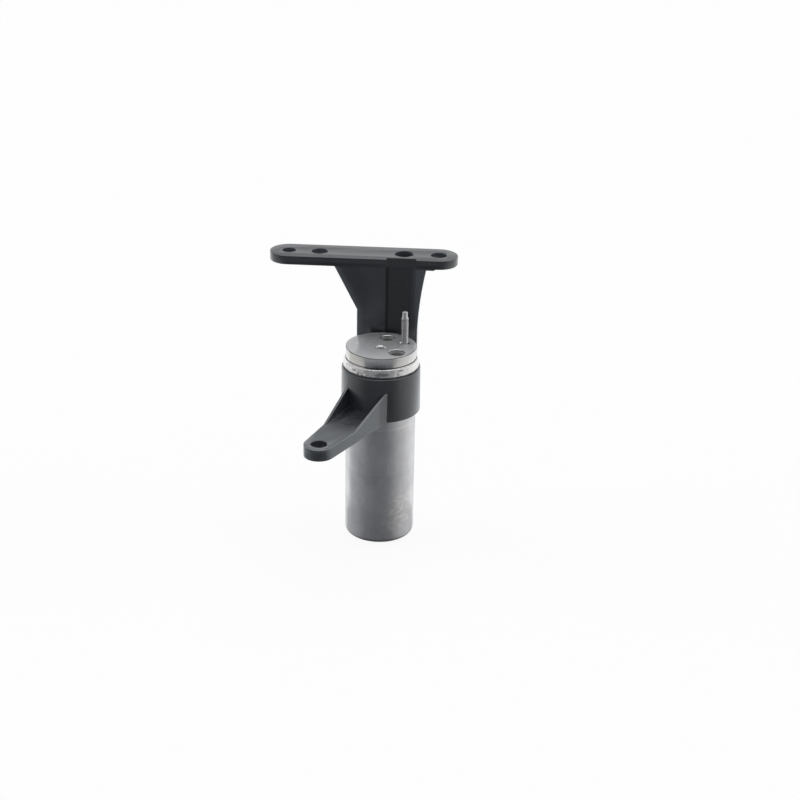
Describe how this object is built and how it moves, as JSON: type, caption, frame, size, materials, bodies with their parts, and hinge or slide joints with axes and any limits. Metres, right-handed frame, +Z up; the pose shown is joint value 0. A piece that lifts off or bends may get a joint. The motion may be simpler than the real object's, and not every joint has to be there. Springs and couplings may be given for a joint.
{
  "type": "receiver drier",
  "caption": "Welded aluminium refrigerant receiver drier with a bored head and stud, held in a black moulded bracket with a T-shaped top plate and a side arm.",
  "frame": {"origin": "centre of the can's flat bottom, on its axis", "axes": "+Z up the can's axis towards the head, +X along the bracket's top plate, -Y towards the side with the arm"},
  "size_m": [0.1613, 0.1754, 0.2393],
  "materials": {
    "can": "drawn, satin",
    "head": "turned, semi-bright",
    "weld": "bright weld ripple",
    "stud": "plated",
    "bracket": "satin black, glass filled",
    "tube": "drawn",
    "strainer": "moulded",
    "screen": "woven wire",
    "plates": "punched sheet",
    "felt": "needled felt",
    "desiccant": "packed molecular sieve beads",
    "bush": "natural nylon",
    "spring": "spring wire"
  },
  "bodies": {
    "root": {"can": "can", "head": "head", "weld_bead": "weld", "stud": "stud", "bracket": "bracket", "pickup_tube": "tube", "strainer_frame": "strainer", "strainer_screen": "screen", "lower_plate": "plates", "upper_plate": "plates", "lower_pad": "felt", "upper_pad": "felt", "desiccant_bed": "desiccant", "tube_bush": "bush", "spring": "spring"}
  },
  "joints": []
}
